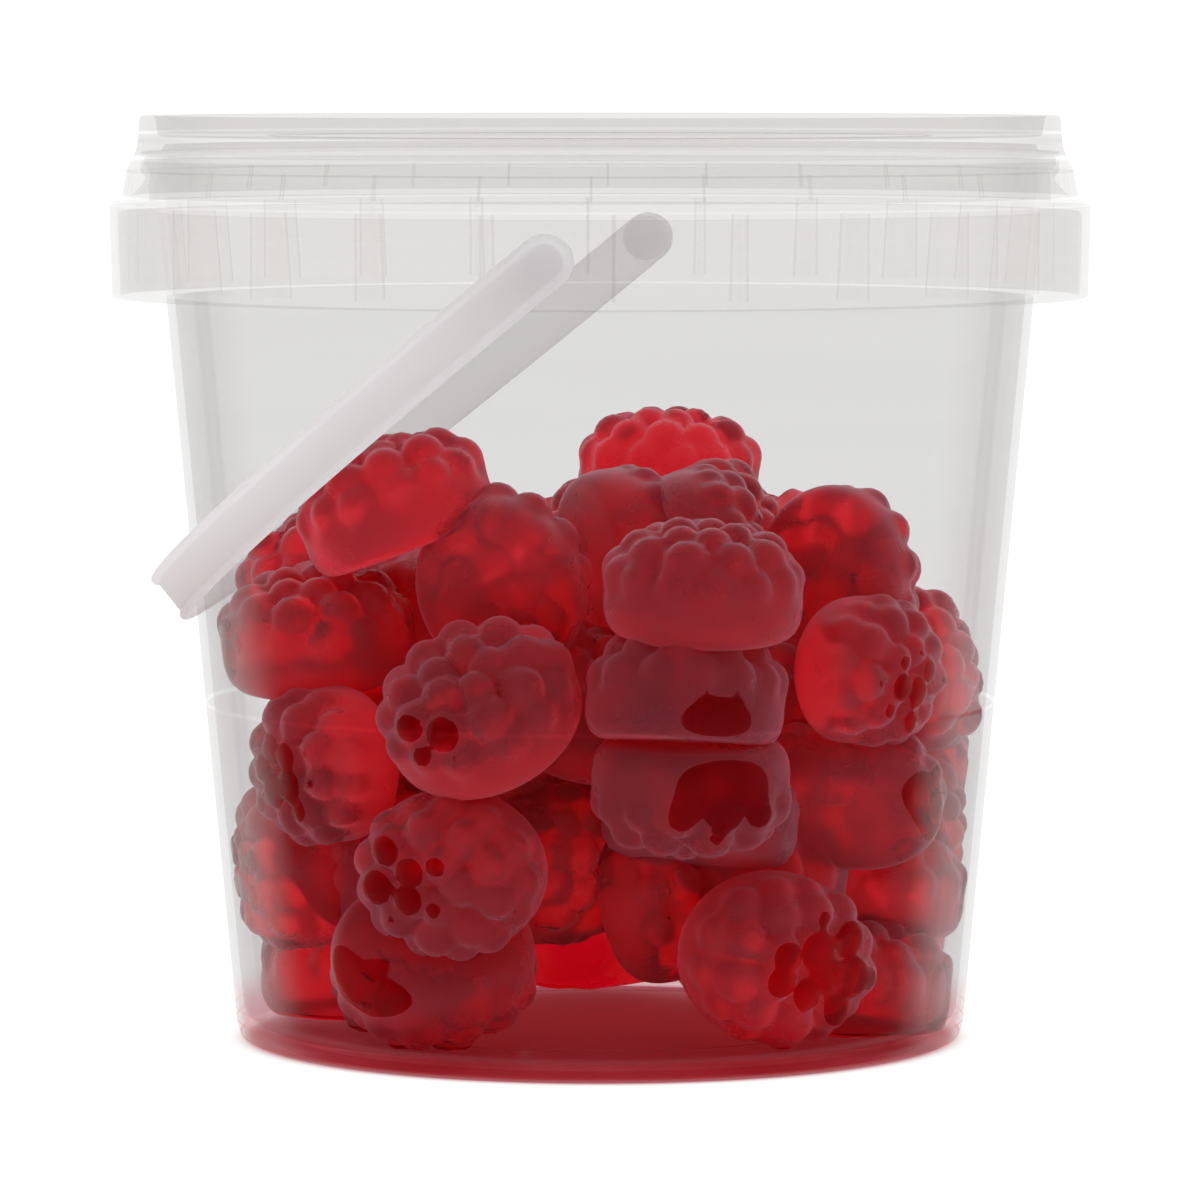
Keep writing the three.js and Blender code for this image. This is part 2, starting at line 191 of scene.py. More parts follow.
# The middle of the heap is filled with sweets wherever there is room for one.
FILL_SEED = 5081
FILL_TRIES = 2500
FILL_APART = 14.5
FILL_RADIUS = 33.0
FILL_BOTTOM = 9.0
FILL_TOP = 56.0
FILL_FRONT = -14.0
FILL_GAP = 21.0  # half width of the gap low in the middle, and how far back it goes
FILL_GAP_TOP = 24.0


def outer_wall(height):
    return FOOT_RADIUS + WALL_SLOPE * height


def inner_wall(height):
    return outer_wall(height) - SHEET


# ---------------------------------------------------------------- meshes


def make_piece(name, points, faces, *materials):
    """A smooth-shaded mesh object from points in millimetres."""
    mesh = bpy.data.meshes.new(name)
    mesh.from_pydata((np.asarray(points, float) * MM).tolist(), [], faces)
    mesh.polygons.foreach_set("use_smooth", [True] * len(mesh.polygons))
    for material in materials:
        mesh.materials.append(material)
    mesh.update()
    piece = bpy.data.objects.new(name, mesh)
    bpy.context.scene.collection.objects.link(piece)
    return piece


def rounded(corners):
    """An outline through (x, y, radius) corners, each one but the ends drawn as an arc."""
    outline = []
    count = len(corners)
    for i, (x, y, radius) in enumerate(corners):
        here = Vector((x, y))
        if radius == 0 or i in (0, count - 1):
            outline.append((x, y))
            continue
        back = Vector(corners[i - 1][:2]) - here
        ahead = Vector(corners[i + 1][:2]) - here
        turn = math.pi - back.angle(ahead)
        room = CORNER_ROOM * back.length, CORNER_ROOM * ahead.length
        reach = min(radius * math.tan(turn / 2), *room)
        start = here + back.normalized() * reach
        end = here + ahead.normalized() * reach
        for k in range(CORNER_STEPS + 1):
            share = k / CORNER_STEPS
            blend = start * (1 - share) ** 2 + here * 2 * share * (1 - share) + end * share**2
            outline.append((blend.x, blend.y))
    return outline


def with_lines(outline, lines, least_radius):
    """The outline with points added where a fine line starts and ends, moulded lines and
    painted glints alike.
    """
    levels = sorted(level for line in lines for level in line[:2])
    split = [outline[0]]
    for (r0, z0), (r1, z1) in zip(outline, outline[1:]):
        between = [z for z in levels if min(z0, z1) < z < max(z0, z1)]
        if min(r0, r1) > least_radius:
            for z in between if z0 < z1 else between[::-1]:
                split.append((r0 + (r1 - r0) * (z - z0) / (z1 - z0), z))
        split.append((r1, z1))
    return split


def line_at(height, lines):
    """The fine line that this height lies on, if any, moulded lines and painted glints alike.
    """
    found = [line for line in lines if line[0] < height < line[1]]
    return found[0] if found else None


def lathe(outline, steps=ROUND_STEPS):
    """Points and faces of an outline of (radius, height) turned about Z, axis to axis."""
    points = []
    rows = []
    for radius, height in outline:
        if radius < 1e-6:
            rows.append([len(points)] * steps)
            points.append((0, 0, height))
            continue
        rows.append(list(range(len(points), len(points) + steps)))
        for k in range(steps):
            angle = TAU * k / steps
            points.append((radius * math.cos(angle), radius * math.sin(angle), height))
    faces = []
    for low, high in zip(rows, rows[1:]):
        for k in range(steps):
            n = (k + 1) % steps
            if low[0] == low[1]:
                faces.append((low[k], high[n], high[k]))
            elif high[0] == high[1]:
                faces.append((low[k], low[n], high[k]))
            else:
                faces.append((low[k], low[n], high[n], high[k]))
    return points, faces


def joined(*parts):
    """One list of points and one of faces from several."""
    points = []
    faces = []
    for some_points, some_faces in parts:
        base = len(points)
        points.extend(some_points)
        faces.extend([tuple(base + i for i in face) for face in some_faces])
    return points, faces


PLATE_FACES = 6
PLATE_UPRIGHT_EDGES = (3, 5)  # the outer and the inner one


def plate(corners, thickness, angle):
    """An upright plate of (radius, height) corners, its middle plane at that angle."""
    side = Vector((-math.sin(angle), math.cos(angle), 0)) * thickness / 2
    points = []
    for sign in (-1, 1):
        for radius, height in corners:
            middle = Vector((radius * math.cos(angle), radius * math.sin(angle), height))
            points.append(tuple(middle + sign * side))
    n = len(corners)
    # Two sides first, then the edges: low, outer, high and inner.
    faces = [tuple(range(n - 1, -1, -1)), tuple(range(n, 2 * n))]
    faces += [(k, (k + 1) % n, n + (k + 1) % n, n + k) for k in range(n)]
    return points, faces


# ---------------------------------------------------------------- materials


class Nodes:
    """A material's node tree, with short calls to add and link nodes."""

    def __init__(self, name):
        self.material = bpy.data.materials.new(name)
        self.material.use_nodes = True
        self.tree = self.material.node_tree
        self.tree.nodes.clear()
        self.output = self.add("ShaderNodeOutputMaterial")

    def add(self, kind, **settings):
        node = self.tree.nodes.new(kind)
        for key, value in settings.items():
            if hasattr(node, key):
                setattr(node, key, value)
            else:
                node.inputs[key.replace("_", " ")].default_value = value
        return node

    def link(self, source, target):
        self.tree.links.new(source, target)

    def math(self, operation, first, second):
        node = self.tree.nodes.new("ShaderNodeMath")
        node.operation = operation
        for socket, value in zip(node.inputs, (first, second)):
            if hasattr(value, "links"):
                self.link(value, socket)
            else:
                socket.default_value = value
        return node.outputs[0]

    def range(self, value, low, high, to_low=0.0, to_high=1.0):
        node = self.tree.nodes.new("ShaderNodeMapRange")
        node.interpolation_type = "SMOOTHSTEP"
        node.inputs["From Min"].default_value = low
        node.inputs["From Max"].default_value = high
        node.inputs["To Min"].default_value = to_low
        node.inputs["To Max"].default_value = to_high
        self.link(value, node.inputs["Value"])
        return node.outputs[0]

    def noise(self, scale, detail=3, roughness=0.5, stretch=(1, 1, 1)):
        place = self.add("ShaderNodeTexCoord")
        mapping = self.add("ShaderNodeMapping")
        mapping.inputs["Scale"].default_value = stretch
        self.link(place.outputs["Object"], mapping.inputs["Vector"])
        node = self.tree.nodes.new("ShaderNodeTexNoise")
        node.inputs["Scale"].default_value = scale
        node.inputs["Detail"].default_value = detail
        node.inputs["Roughness"].default_value = roughness
        self.link(mapping.outputs[0], node.inputs["Vector"])
        return node.outputs["Fac"]

    def mix_colour(self, share, first, second):
        node = self.tree.nodes.new("ShaderNodeMix")
        node.data_type = "RGBA"
        self.link(share, node.inputs["Factor"])
        for socket, value in ((node.inputs["A"], first), (node.inputs["B"], second)):
            if hasattr(value, "links"):
                self.link(value, socket)
            else:
                socket.default_value = value
        return node.outputs["Result"]


# Clear plastics: the milky share seen flat on and at a slant, the colour that passes one
# surface, the brightness of the milk and, for the wall, what passes at the foot, tinted
# red there with painted light and reflection from the sweets.
CLEAR_PLASTICS = {
    "wall": (0.001, 0.55, (0.9125, 0.911, 0.909, 1), 0.82, (0.82, 0.46, 0.51, 1)),
    "rim": (0.006, 0.3, (0.940, 0.938, 0.936, 1), 0.75),
    "neck": (0.002, 0.1, (0.983, 0.980, 0.979, 1), 0.75),
    # Pale: the sides of ribs and seams, and the lines that are painted glints.
    "pale": (0.002, 0.1, (0.995, 0.993, 0.992, 1), 0.75),
    # The foot's fine lines pass red: painted red light and reflection from the sweets.
    "foot": (0.01, 0.3, (0.90, 0.62, 0.61, 1), 0.75),
    "ring": (0.006, 0.4, (0.906, 0.900, 0.896, 1), 0.75),
    "dark": (0.006, 0.3, (0.875, 0.868, 0.866, 1), 0.75),
    "skirt": (0.006, 0.4, (0.941, 0.938, 0.935, 1), 0.75),
}
PLASTIC_IOR = 1.49
# Painted light: the wall's foot is tinted red up to this height, for red light and reflection
# from the sweets.
FOOT_PAINTED_RED_TOP = 7.5
# Painted shade: a thin dark line seen inside each side of the wall.
SIDE_LINE_PASSES = 0.95  # the share that passes the thin dark line inside each side


def clear_plastic(name, veil, edge_veil, passes, milk, foot_passes=None):
    """Polypropylene sheet: see-through, milky as it is seen at a slant."""
    n = Nodes(name)
    through = n.add("ShaderNodeBsdfTransparent", Color=passes)
    skin = n.add("ShaderNodeBsdfPrincipled", Base_Color=(milk, milk, milk * 0.995, 1))
    skin.inputs["IOR"].default_value = PLASTIC_IOR
    slant = n.add("ShaderNodeLayerWeight", Blend=0.5).outputs["Facing"]
    if foot_passes:
        # A thin dark line of painted shade stands inside each side as seen, and the foot is
        # tinted red with painted light and reflection from the sweets.
        line = n.math("SUBTRACT", n.range(slant, 0.60, 0.625), n.range(slant, 0.64, 0.67))
        split = n.add("ShaderNodeSeparateXYZ")
        n.link(n.add("ShaderNodeTexCoord").outputs["Object"], split.inputs[0])
        # Painted light: low on the wall, and where it faces the eye, the foot passes red.
        above = n.range(split.outputs["Z"], 0.0, FOOT_PAINTED_RED_TOP * MM)
        clear_of_painted_red = n.math("MAXIMUM", above, n.range(slant, 0.60, 0.95))
        painted_side_shade = tuple(SIDE_LINE_PASSES * part for part in passes[:3]) + (1,)
        lined = n.mix_colour(line, passes, painted_side_shade)
        n.link(n.mix_colour(clear_of_painted_red, foot_passes, lined), through.inputs["Color"])
    cloud = n.noise(45, 1, 0.5, (1, 1, 0.25))
    flat_share = n.range(cloud, 0.3, 0.7, 0.6 * veil, 1.4 * veil)
    steep = n.math("MULTIPLY", n.range(slant, 0.42, 0.8), n.math("SUBTRACT", 1.0, slant))
    steep_share = n.math("MULTIPLY", steep, edge_veil)
    n.link(n.range(cloud, 0.3, 0.7, 0.10, 0.18), skin.inputs["Roughness"])
    mix = n.add("ShaderNodeMixShader")
    n.link(n.math("ADD", flat_share, steep_share), mix.inputs[0])
    n.link(through.outputs[0], mix.inputs[1])
    n.link(skin.outputs[0], mix.inputs[2])
    n.link(mix.outputs[0], n.output.inputs["Surface"])
    return n.material


SATIN_COLOURS = (0.985, 0.98, 0.985, 1), (1.0, 0.997, 1.0, 1)
# Painted shade: the colour the skin darkens to at the pivot.
SATIN_PAINTED_PIVOT_SHADE = (0.90, 0.885, 0.89, 1)
SATIN_PASSES = (0.98, 0.975, 0.98, 1)
SATIN_TRANSLUCENT = 0.80
SATIN_IOR = 1.45
PIVOT_SHADE_REACH = 22.0


def white_plastic():
    """Milky satin polypropylene that lets light through, with painted shade that darkens it by
    the pivot.
    """
    n = Nodes("white_plastic_satin")
    skin = n.add("ShaderNodeBsdfPrincipled")
    cloud = n.noise(60, 3)
    faint = n.range(cloud, 0.3, 0.7)
    pale = n.mix_colour(faint, *SATIN_COLOURS)
    place = n.add("ShaderNodeTexCoord")
    reach = n.add("ShaderNodeVectorMath", operation="MULTIPLY")
    reach.inputs[1].default_value = (1, 0, 1)  # the pivot line runs along Y
    n.link(place.outputs["Object"], reach.inputs[0])
    from_pivot = n.add("ShaderNodeVectorMath", operation="DISTANCE")
    from_pivot.inputs[1].default_value = (0, 0, PIVOT_HEIGHT * MM)
    n.link(reach.outputs[0], from_pivot.inputs[0])
    # Painted shade, fading out with distance from the pivot.
    shade = n.range(from_pivot.outputs["Value"], 0.0, PIVOT_SHADE_REACH * MM)
    n.link(n.mix_colour(shade, SATIN_PAINTED_PIVOT_SHADE, pale), skin.inputs["Base Color"])
    n.link(n.range(cloud, 0.3, 0.7, 0.35, 0.45), skin.inputs["Roughness"])
    skin.inputs["IOR"].default_value = SATIN_IOR
    lit = n.add("ShaderNodeBsdfTranslucent", Color=SATIN_PASSES)
    mix = n.add("ShaderNodeMixShader")
    mix.inputs[0].default_value = SATIN_TRANSLUCENT
    n.link(skin.outputs[0], mix.inputs[1])
    n.link(lit.outputs[0], mix.inputs[2])
    n.link(mix.outputs[0], n.output.inputs["Surface"])
    return n.material


JELLY_COLOURS = (0.92, 0.010, 0.019, 1), (0.97, 0.017, 0.025, 1)
JELLY_PRESSED = (0.72, 0.0, 0.006, 1)
JELLY_GLOSS = (1, 0.15, 0.3, 1)
JELLY_IOR = 1.22
JELLY_CLEAR = 0.9
FROST_COLOUR = (0.80, 0.37, 0.50, 1)
FROST_SHARES = 0.085, 0.29  # seen flat on and at a slant
# The press at which the skin starts to look flattened and at which it fully does. Below
# zero is short of the wall, in millimetres.
PRESS_LIMITS = -0.55, -0.51


def red_gummy():
    """Red jelly lit through from behind, its skin frosted except where it is pressed flat."""
    n = Nodes("red_gummy_jelly")
    skin = n.add("ShaderNodeBsdfPrincipled")
    touch = n.add("ShaderNodeAttribute", attribute_name="touch").outputs["Fac"]
    pressed = n.range(touch, *PRESS_LIMITS)
    bare = n.range(touch, *PRESS_LIMITS, 1.0, 0.0)
    cloud = n.noise(110, 3, 0.6)
    body = n.mix_colour(n.range(cloud, 0.35, 0.65), *JELLY_COLOURS)
    slant = n.add("ShaderNodeLayerWeight", Blend=0.5).outputs["Facing"]
    haze = n.math("MULTIPLY", n.range(slant, 0.25, 1.0, *FROST_SHARES), bare)
    n.link(n.mix_colour(pressed, body, JELLY_PRESSED), skin.inputs["Base Color"])
    frost = n.range(cloud, 0.35, 0.7, 0.26, 0.35)
    n.link(n.math("ADD", frost, n.math("MULTIPLY", pressed, -0.2)), skin.inputs["Roughness"])
    skin.inputs["Transmission Weight"].default_value = JELLY_CLEAR
    skin.inputs["IOR"].default_value = JELLY_IOR
    skin.inputs["Specular IOR Level"].default_value = 0.1
    skin.inputs["Specular Tint"].default_value = JELLY_GLOSS
    frosted = n.add("ShaderNodeBsdfDiffuse", Color=FROST_COLOUR)
    mix = n.add("ShaderNodeMixShader")
    n.link(haze, mix.inputs[0])
    n.link(skin.outputs[0], mix.inputs[1])
    n.link(frosted.outputs[0], mix.inputs[2])
    n.link(mix.outputs[0], n.output.inputs["Surface"])
    return n.material


# ---------------------------------------------------------------- tub and lid


def tub_outline():
    web_under = COLLAR_TOP - SHEET - 0.1
    collar_foot = COLLAR_RADIUS - COLLAR_TAPER
    line_low = MOULD_LINE - MOULD_LINE_HALF
    line_high = MOULD_LINE + MOULD_LINE_HALF
    return rounded(
        [
            # Under the floor, and the foot ring
            (0, FLOOR_LIFT, 0),
            (FOOT_RING_INNER - 1.2, FLOOR_LIFT, 0.4),
            (FOOT_RING_INNER, 0.05, 0.3),
            (FOOT_RING_OUTER, 0.0, 0.5),
            (FOOT_RING_OUTER + 1.0, 0.5, 0.6),
            # Wall with its mould line
            (outer_wall(1.8), 1.8, 0.6),
            (outer_wall(line_low), line_low, 0.05),
            (outer_wall(MOULD_LINE) + MOULD_LINE_RISE, MOULD_LINE, 0.05),
            (outer_wall(line_high), line_high, 0.05),
            (outer_wall(COLLAR_BOTTOM), COLLAR_BOTTOM, 0),
            # Collar
            (outer_wall(web_under), web_under, 0.5),
            (COLLAR_RADIUS - SHEET, web_under, 0.5),
            (collar_foot - SHEET, COLLAR_BOTTOM, 0.3),
            (collar_foot, COLLAR_BOTTOM, 0.3),
            (COLLAR_RADIUS, COLLAR_TOP, 0.6),
            # Neck and rim bead
            (NECK_RADIUS + 0.1, COLLAR_TOP, 0.4),
            (NECK_RADIUS, RIM_TOP - 1.9, 0.3),
            (BEAD_RADIUS, RIM_TOP - 1.3, 0.3),
            (BEAD_RADIUS, RIM_TOP - 0.1, 0.6),
            (inner_wall(RIM_TOP) + 0.1, RIM_TOP, 0.5),
            # Inside, and the floor with its ring line
            (inner_wall(RIM_TOP - 1), RIM_TOP - 1, 0.4),
            (inner_wall(COLLAR_BOTTOM), COLLAR_BOTTOM, 0),
            (inner_wall(3), 3, 2.0),
            (inner_wall(0) - 2.0, FLOOR_TOP, 1.0),
            (FLOOR_LINE + 0.4, FLOOR_TOP, 0.2),
            (FLOOR_LINE, FLOOR_TOP + 0.12, 0.2),
            (FLOOR_LINE - 0.4, FLOOR_TOP, 0.2),
            (0, FLOOR_TOP, 0),
        ]
    )


def collar_ribs():
    top = COLLAR_TOP - SHEET / 2
    collar_side = COLLAR_RADIUS - COLLAR_TAPER - SHEET / 2
    corners = [
        (outer_wall(RIB_BOTTOM) - SHEET / 2, RIB_BOTTOM),
        (collar_side, RIB_BOTTOM),
        (collar_side, top),
        (outer_wall(top) - SHEET / 2, top),
    ]
    angles = [(i + 0.5) * TAU / RIB_COUNT for i in range(RIB_COUNT)]
    return [plate(corners, RIB_THICKNESS, angle) for angle in angles]


def mark_strips(piece, plates, side_index, strip_index):
    """The plates at a mesh's end get one material on their upright edges, one elsewhere."""
    for number, face in enumerate(piece.data.polygons[-PLATE_FACES * plates :]):
        on_edge = number % PLATE_FACES in PLATE_UPRIGHT_EDGES
        face.material_index = strip_index if on_edge else side_index


# The order of the tub's materials.
TUB_WALL, TUB_RIM, TUB_NECK, TUB_PALE, TUB_RED_LIT_LINE = range(5)


def make_tub(materials):
    outline = with_lines(tub_outline(), TUB_LINES, FOOT_RADIUS - 0.7)
    points, faces = joined(lathe(outline), *collar_ribs())
    tub = make_piece("tub_shell", points, faces, *materials)
    for face in tub.data.polygons:
        x, y, z = face.center / MM
        past_wall = math.hypot(x, y) - outer_wall(z)
        outside = past_wall > -SHEET / 2
        line = line_at(z, TUB_LINES)
        # Pale lines are painted glints; the others, at the foot, pass red with painted light
        # from the sweets.
        if line and outside:
            face.material_index = TUB_PALE if line[2] else TUB_RED_LIT_LINE
        elif past_wall > 0.3:
            face.material_index = TUB_RIM
        elif z > COLLAR_BOTTOM or (outside and abs(z - MOULD_LINE) < 0.3):
            face.material_index = TUB_NECK
        else:
            face.material_index = TUB_WALL
    mark_strips(tub, RIB_COUNT, TUB_PALE, TUB_RIM)
    return tub


def lid_outline():
    pad_under = RIM_TOP + 0.4
    skirt_inside = BEAD_RADIUS + 0.4
    catch = NECK_RADIUS + 0.45
    return rounded(
        [
            # Under the panel and over the tub's rim
            (0, PANEL_TOP - SHEET, 0),
            (inner_wall(RIM_TOP) - 0.4, PANEL_TOP - SHEET, 0.3),
            (inner_wall(RIM_TOP), pad_under, 0.3),
            (skirt_inside, pad_under, 0.4),
            # Skirt with its catch inside
            (skirt_inside, SKIRT_BOTTOM + 3.0, 0.2),
            (catch, SKIRT_BOTTOM + 2.2, 0.3),
            (skirt_inside, SKIRT_BOTTOM + 1.2, 0.3),
            (SKIRT_RADIUS - SHEET, SKIRT_BOTTOM, 0.2),
            (SKIRT_RADIUS, SKIRT_BOTTOM, 0.3),
            (RING_RADIUS + 1.5, SKIRT_BOTTOM + 3.4, 0.4),
            (RING_RADIUS + 0.7, SKIRT_BOTTOM + 4.9, 0.5),
            (RING_RADIUS + 0.3, SKIRT_BOTTOM + 6.1, 0.3),
            # Stacking ring, and the panel with its ring line
            (RING_RADIUS, RING_TOP, 0.6),
            (RING_RADIUS - 1.8, RING_TOP, 0.6),
            (RING_RADIUS - 2.2, PANEL_TOP, 0.5),
            (PANEL_LINE + 0.3, PANEL_TOP, 0.2),
            (PANEL_LINE, PANEL_TOP + 0.15, 0.2),
            (PANEL_LINE - 0.3, PANEL_TOP, 0.2),
            (0, PANEL_TOP, 0),
        ]
    )


def skirt_seams():
    low = SKIRT_BOTTOM + 0.3
    high = SKIRT_BOTTOM + 3.3
    corners = [
        (SKIRT_RADIUS - 0.5, low),
        (SKIRT_RADIUS + 0.05, low),
        (RING_RADIUS + 1.6, high),
        (RING_RADIUS + 1.2, high),
    ]
    first = math.radians(HEAP_TURN + SEAM_FIRST_ANGLE)
    angles = [first + i * TAU / SEAM_COUNT for i in range(SEAM_COUNT)]
    return [plate(corners, SEAM_THICKNESS, angle) for angle in angles]


# The order of the lid's materials.
LID_TOP, LID_SKIRT, LID_PALE, LID_DARK = range(4)


def make_lid(materials):
    outline = with_lines(lid_outline(), LID_LINES, RING_RADIUS - 0.5)
    points, faces = joined(lathe(outline), *skirt_seams())
    lid = make_piece("lid_shell", points, faces, *materials)
    for face in lid.data.polygons:
        x, y, z = face.center / MM
        line = line_at(z, LID_LINES)
        # Pale lines are painted glints; the dark ones are moulded lines.
        if line and math.hypot(x, y) > RING_RADIUS - 0.2:
            face.material_index = LID_PALE if line[2] else LID_DARK
        elif z < RIM_TOP + 0.2:
            face.material_index = LID_SKIRT
        else:
            face.material_index = LID_TOP
    mark_strips(lid, SEAM_COUNT, LID_PALE, LID_SKIRT)
    return lid


# ---------------------------------------------------------------- handle

# Distance in from the band's edge and height over its middle plane, outer face first.
BAND_NEST = [
    (3.2, 0.22),
    (1.25, 0.22),
    (1.05, 0.26),
    (0.85, 0.58),
    (0.6, 0.70),
    (0.3, 0.68),
    (0.08, 0.52),
    (0.0, 0.3),
    (0.0, -0.35),
    (0.12, -0.6),
    (0.4, -0.7),
    (3.2, -0.7),
]


def bail_point(along, across, out):
    """A point of the bail in its own plane, by its place along, across and out of the band."""
    arc = math.pi * BAIL_RADIUS
    whole = arc + 2 * BAIL_STRAIGHT
    if along < BAIL_STRAIGHT:
        return (along, -BAIL_RADIUS - out, across)
    if along > BAIL_STRAIGHT + arc:
        return (whole - along, BAIL_RADIUS + out, across)
    angle = (along - BAIL_STRAIGHT) / BAIL_RADIUS
    reach = BAIL_RADIUS + out
    return (BAIL_STRAIGHT + reach * math.sin(angle), -reach * math.cos(angle), across)


def band_ring(inset, out):
    """The band's outline, that far in from its edge, as points round it."""
    half = BAND_WIDTH / 2 - inset
    whole = math.pi * BAIL_RADIUS + 2 * BAIL_STRAIGHT
    ring = [(whole * k / BAIL_STEPS, -half) for k in range(BAIL_STEPS + 1)]
    for k in range(1, BAND_END_STEPS):
        turn = math.pi * k / BAND_END_STEPS
        ring.append((whole + half * math.sin(turn), -half * math.cos(turn)))
    ring += [(whole * (1 - k / BAIL_STEPS), half) for k in range(BAIL_STEPS + 1)]
    for k in range(1, BAND_END_STEPS):
        turn = math.pi * k / BAND_END_STEPS
        ring.append((-half * math.sin(turn), half * math.cos(turn)))
    return [bail_point(along, across, out) for along, across in ring]


def band_mesh():
    points = []
    for inset, out in BAND_NEST:
        points.extend(band_ring(min(inset, BAND_WIDTH / 2 - BAND_SLIT / 2), out))
    size = len(points) // len(BAND_NEST)
    faces = []
    for row in range(len(BAND_NEST) - 1):
        for k in range(size):
            n = (k + 1) % size
            a = row * size
            faces.append((a + k, a + size + k, a + size + n, a + n))
    # The first and the last ring are each closed across their slit.
    last = len(BAND_NEST) - 1
    side = BAIL_STEPS + 1
    end = BAND_END_STEPS - 1
    for row, order in ((0, 1), (last, -1)):
        a = row * size
        for k in range(BAIL_STEPS):
            other = side + end + (BAIL_STEPS - k)
            quad = (a + k, a + k + 1, a + other - 1, a + other)
            faces.append(quad[::order])
        for start in (side - 1, 2 * side + end - 1):
            fan = [a + (start + i) % size for i in range(end + 2)]
            faces.append(tuple(fan[::order]))
    return points, faces


def pin(side):
    """A pin and its head behind the collar, along Y."""
    head_front = PIN_HEAD_BACK - PIN_HEAD_THICKNESS
    band_inside = BAIL_RADIUS - BAND_THICKNESS / 2
    outline = rounded(
        [
            (0, head_front, 0),
            (PIN_HEAD_RADIUS, head_front, 0.3),
            (PIN_HEAD_RADIUS, PIN_HEAD_BACK, 0.3),
            (PIN_RADIUS, PIN_HEAD_BACK, 0.2),
            (PIN_RADIUS, band_inside + 0.3, 0),
            (0, band_inside + 0.3, 0),
        ]
    )
    points, faces = lathe(outline, PIN_STEPS)
    turned = [(x, side * z, side * -y) for x, y, z in points]
    return turned, faces


def make_bail(material):
    points, faces = joined(band_mesh(), pin(-1), pin(1))
    turn = Matrix.Rotation(math.radians(180 - BAIL_DROOP), 4, "Y")
    lift = Matrix.Translation((0, 0, PIVOT_HEIGHT))
    placed = [tuple(lift @ turn @ Vector(point)) for point in points]
    return make_piece("bail", placed, faces, material)


# ---------------------------------------------------------------- sweets

# The plain body under the beads, from the flat back to the top of the dome, as shares of
# the plan's half size and of the half height.
BODY_PROFILE = [
    (0.74, -1.0),
    (0.84, -0.965),
    (0.91, -0.86),
    (0.95, -0.70),
    (0.968, -0.48),
    (0.955, -0.22),
    (0.90, 0.05),
    (0.80, 0.29),
    (0.66, 0.48),
    (0.48, 0.61),
    (0.24, 0.69),
    (0.02, 0.71),
]
# Rings of beads: how many, share of the plan, height and radius in millimetres.
BEAD_RINGS = [(5, 0.27, 4.15, 2.6), (9, 0.60, 2.75, 2.8)]
FLUTE_COUNT = 13
FLUTE_RADIUS = 2.75
FLUTE_INSET = 0.05
FLUTE_TOP = 0.4
FLUTE_DROP = 4.0
FLUTE_STEPS = 5
BEAD_BLEND = 0.4  # how far the creases between beads are rounded
BEAD_EYE = -1.0  # height that the whole form can be seen from
NO_BEAD = -99.0  # how far out a bead lies on lines that miss it
# Steps round and rows of a sweet, the seed of the first form and how many forms there are.
SHOWN_FORMS = (78, 31, 11, 4)
HIDDEN_FORMS = (36, 15, 211, 3)
FORM_SEED_STEP = 7
# A row of seeded numbers is made by multiplying on, modulo a prime.
ROW_FACTOR = 16807
ROW_PRIME = 2147483647


def seeded_row(seed):
    """A function that gives the same row of numbers from 0 to 1 on every run."""
    state = [seed]

    def draw():
        state[0] = state[0] * ROW_FACTOR % ROW_PRIME
        return state[0] / ROW_PRIME

    return draw


def smooth_curve(points, count):
    """That many points evenly along a smooth curve through the given ones."""
    knots = np.array([points[0]] + points + [points[-1]], float)
    share = np.linspace(0, 1, 20, endpoint=False)[:, None]
    pieces = []
    for p0, p1, p2, p3 in zip(knots, knots[1:], knots[2:], knots[3:]):
        slope = p2 - p0
        bend = 2 * p0 - 5 * p1 + 4 * p2 - p3
        swing = 3 * (p1 - p2) + p3 - p0
        pieces.append(p1 + 0.5 * (slope * share + bend * share**2 + swing * share**3))
    curve = np.concatenate(pieces + [knots[-1:]])
    length = np.concatenate([[0], np.hypot(*np.diff(curve, axis=0).T).cumsum()])
    even = np.linspace(0, length[-1], count)
    return np.stack([np.interp(even, length, curve[:, i]) for i in (0, 1)], -1)


def sweet_beads(draw):
    """Each bead as a list of (middle, radius) balls: one ball, or a row of them for a flute."""
    half_x = SWEET_LENGTH / 2
    half_y = SWEET_BREADTH / 2
    beads = []
    for count, share, height, radius in BEAD_RINGS:
        start = draw()
        for k in range(count):
            turn = TAU * (k + start + 0.18 * (draw() - 0.5)) / count
            reach = share + 0.04 * (draw() - 0.5)
            size = radius * (0.95 + 0.1 * draw())
            middle = (reach * half_x * math.cos(turn), reach * half_y * math.sin(turn))
            beads.append([((*middle, height + 0.4 * (draw() - 0.5)), size)])
    for k in range(FLUTE_COUNT):
        turn = TAU * (k + 0.2 * (draw() - 0.5)) / FLUTE_COUNT
        size = FLUTE_RADIUS * (0.93 + 0.14 * draw())
        top = FLUTE_TOP + 0.7 * (draw() - 0.5)
        balls = []
        for step in range(FLUTE_STEPS):
            share = step / (FLUTE_STEPS - 1)
            radius = size - 0.45 * share
            inset = FLUTE_RADIUS + FLUTE_INSET + 0.4 * share**2
            reach_x = half_x - inset
            reach_y = half_y - inset
            height = top - FLUTE_DROP * share
            balls.append(((reach_x * math.cos(turn), reach_y * math.sin(turn), height), radius))
        beads.append(balls)
    return beads


